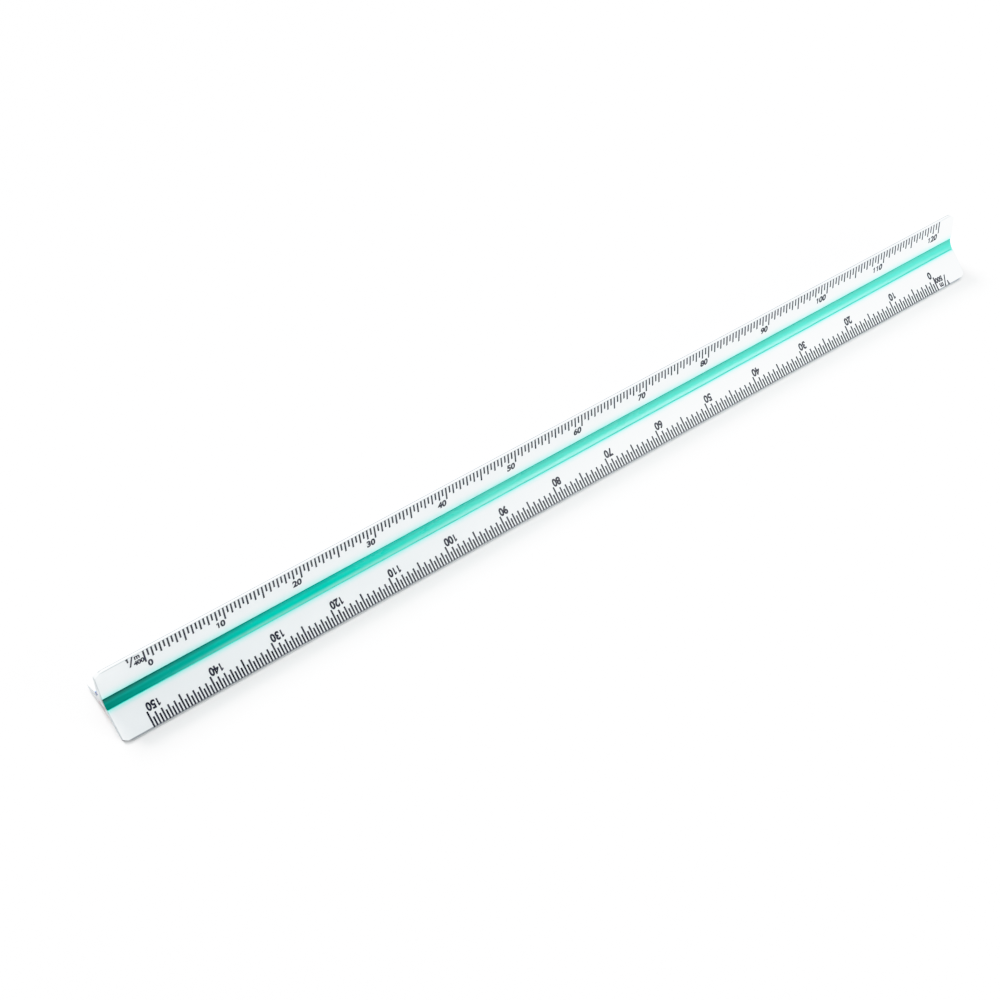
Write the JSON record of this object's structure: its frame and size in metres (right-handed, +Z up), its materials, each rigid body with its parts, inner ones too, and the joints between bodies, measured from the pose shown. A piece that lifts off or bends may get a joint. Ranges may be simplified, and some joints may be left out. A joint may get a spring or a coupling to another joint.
{
  "type": "triangular scale ruler",
  "caption": "Straight drafting ruler with three tapered arms in a star section, scales printed on both sides of each arm, and a coloured inlay strip along each valley.",
  "frame": {"origin": "middle of the underside: half way along the ruler, between the two arm tips it rests on", "axes": "+X along the ruler, towards the end where the 1:400 scale reads 120; +Z up along the upright arm; the green valley faces -Y and up"},
  "size_m": [0.322, 0.024, 0.0208],
  "materials": {
    "white_plastic": "satin white moulded plastic, printed with dark graduations and numbers",
    "green_plastic": "glossy teal green",
    "red_plastic": "glossy red",
    "blue_plastic": "glossy blue",
    "ink": "dark screen-printed ink of the graduations and numbers"
  },
  "bodies": {
    "root": {"scale_body": "white_plastic", "inlay_green": "green_plastic", "inlay_red": "red_plastic", "inlay_blue": "blue_plastic"}
  },
  "joints": []
}
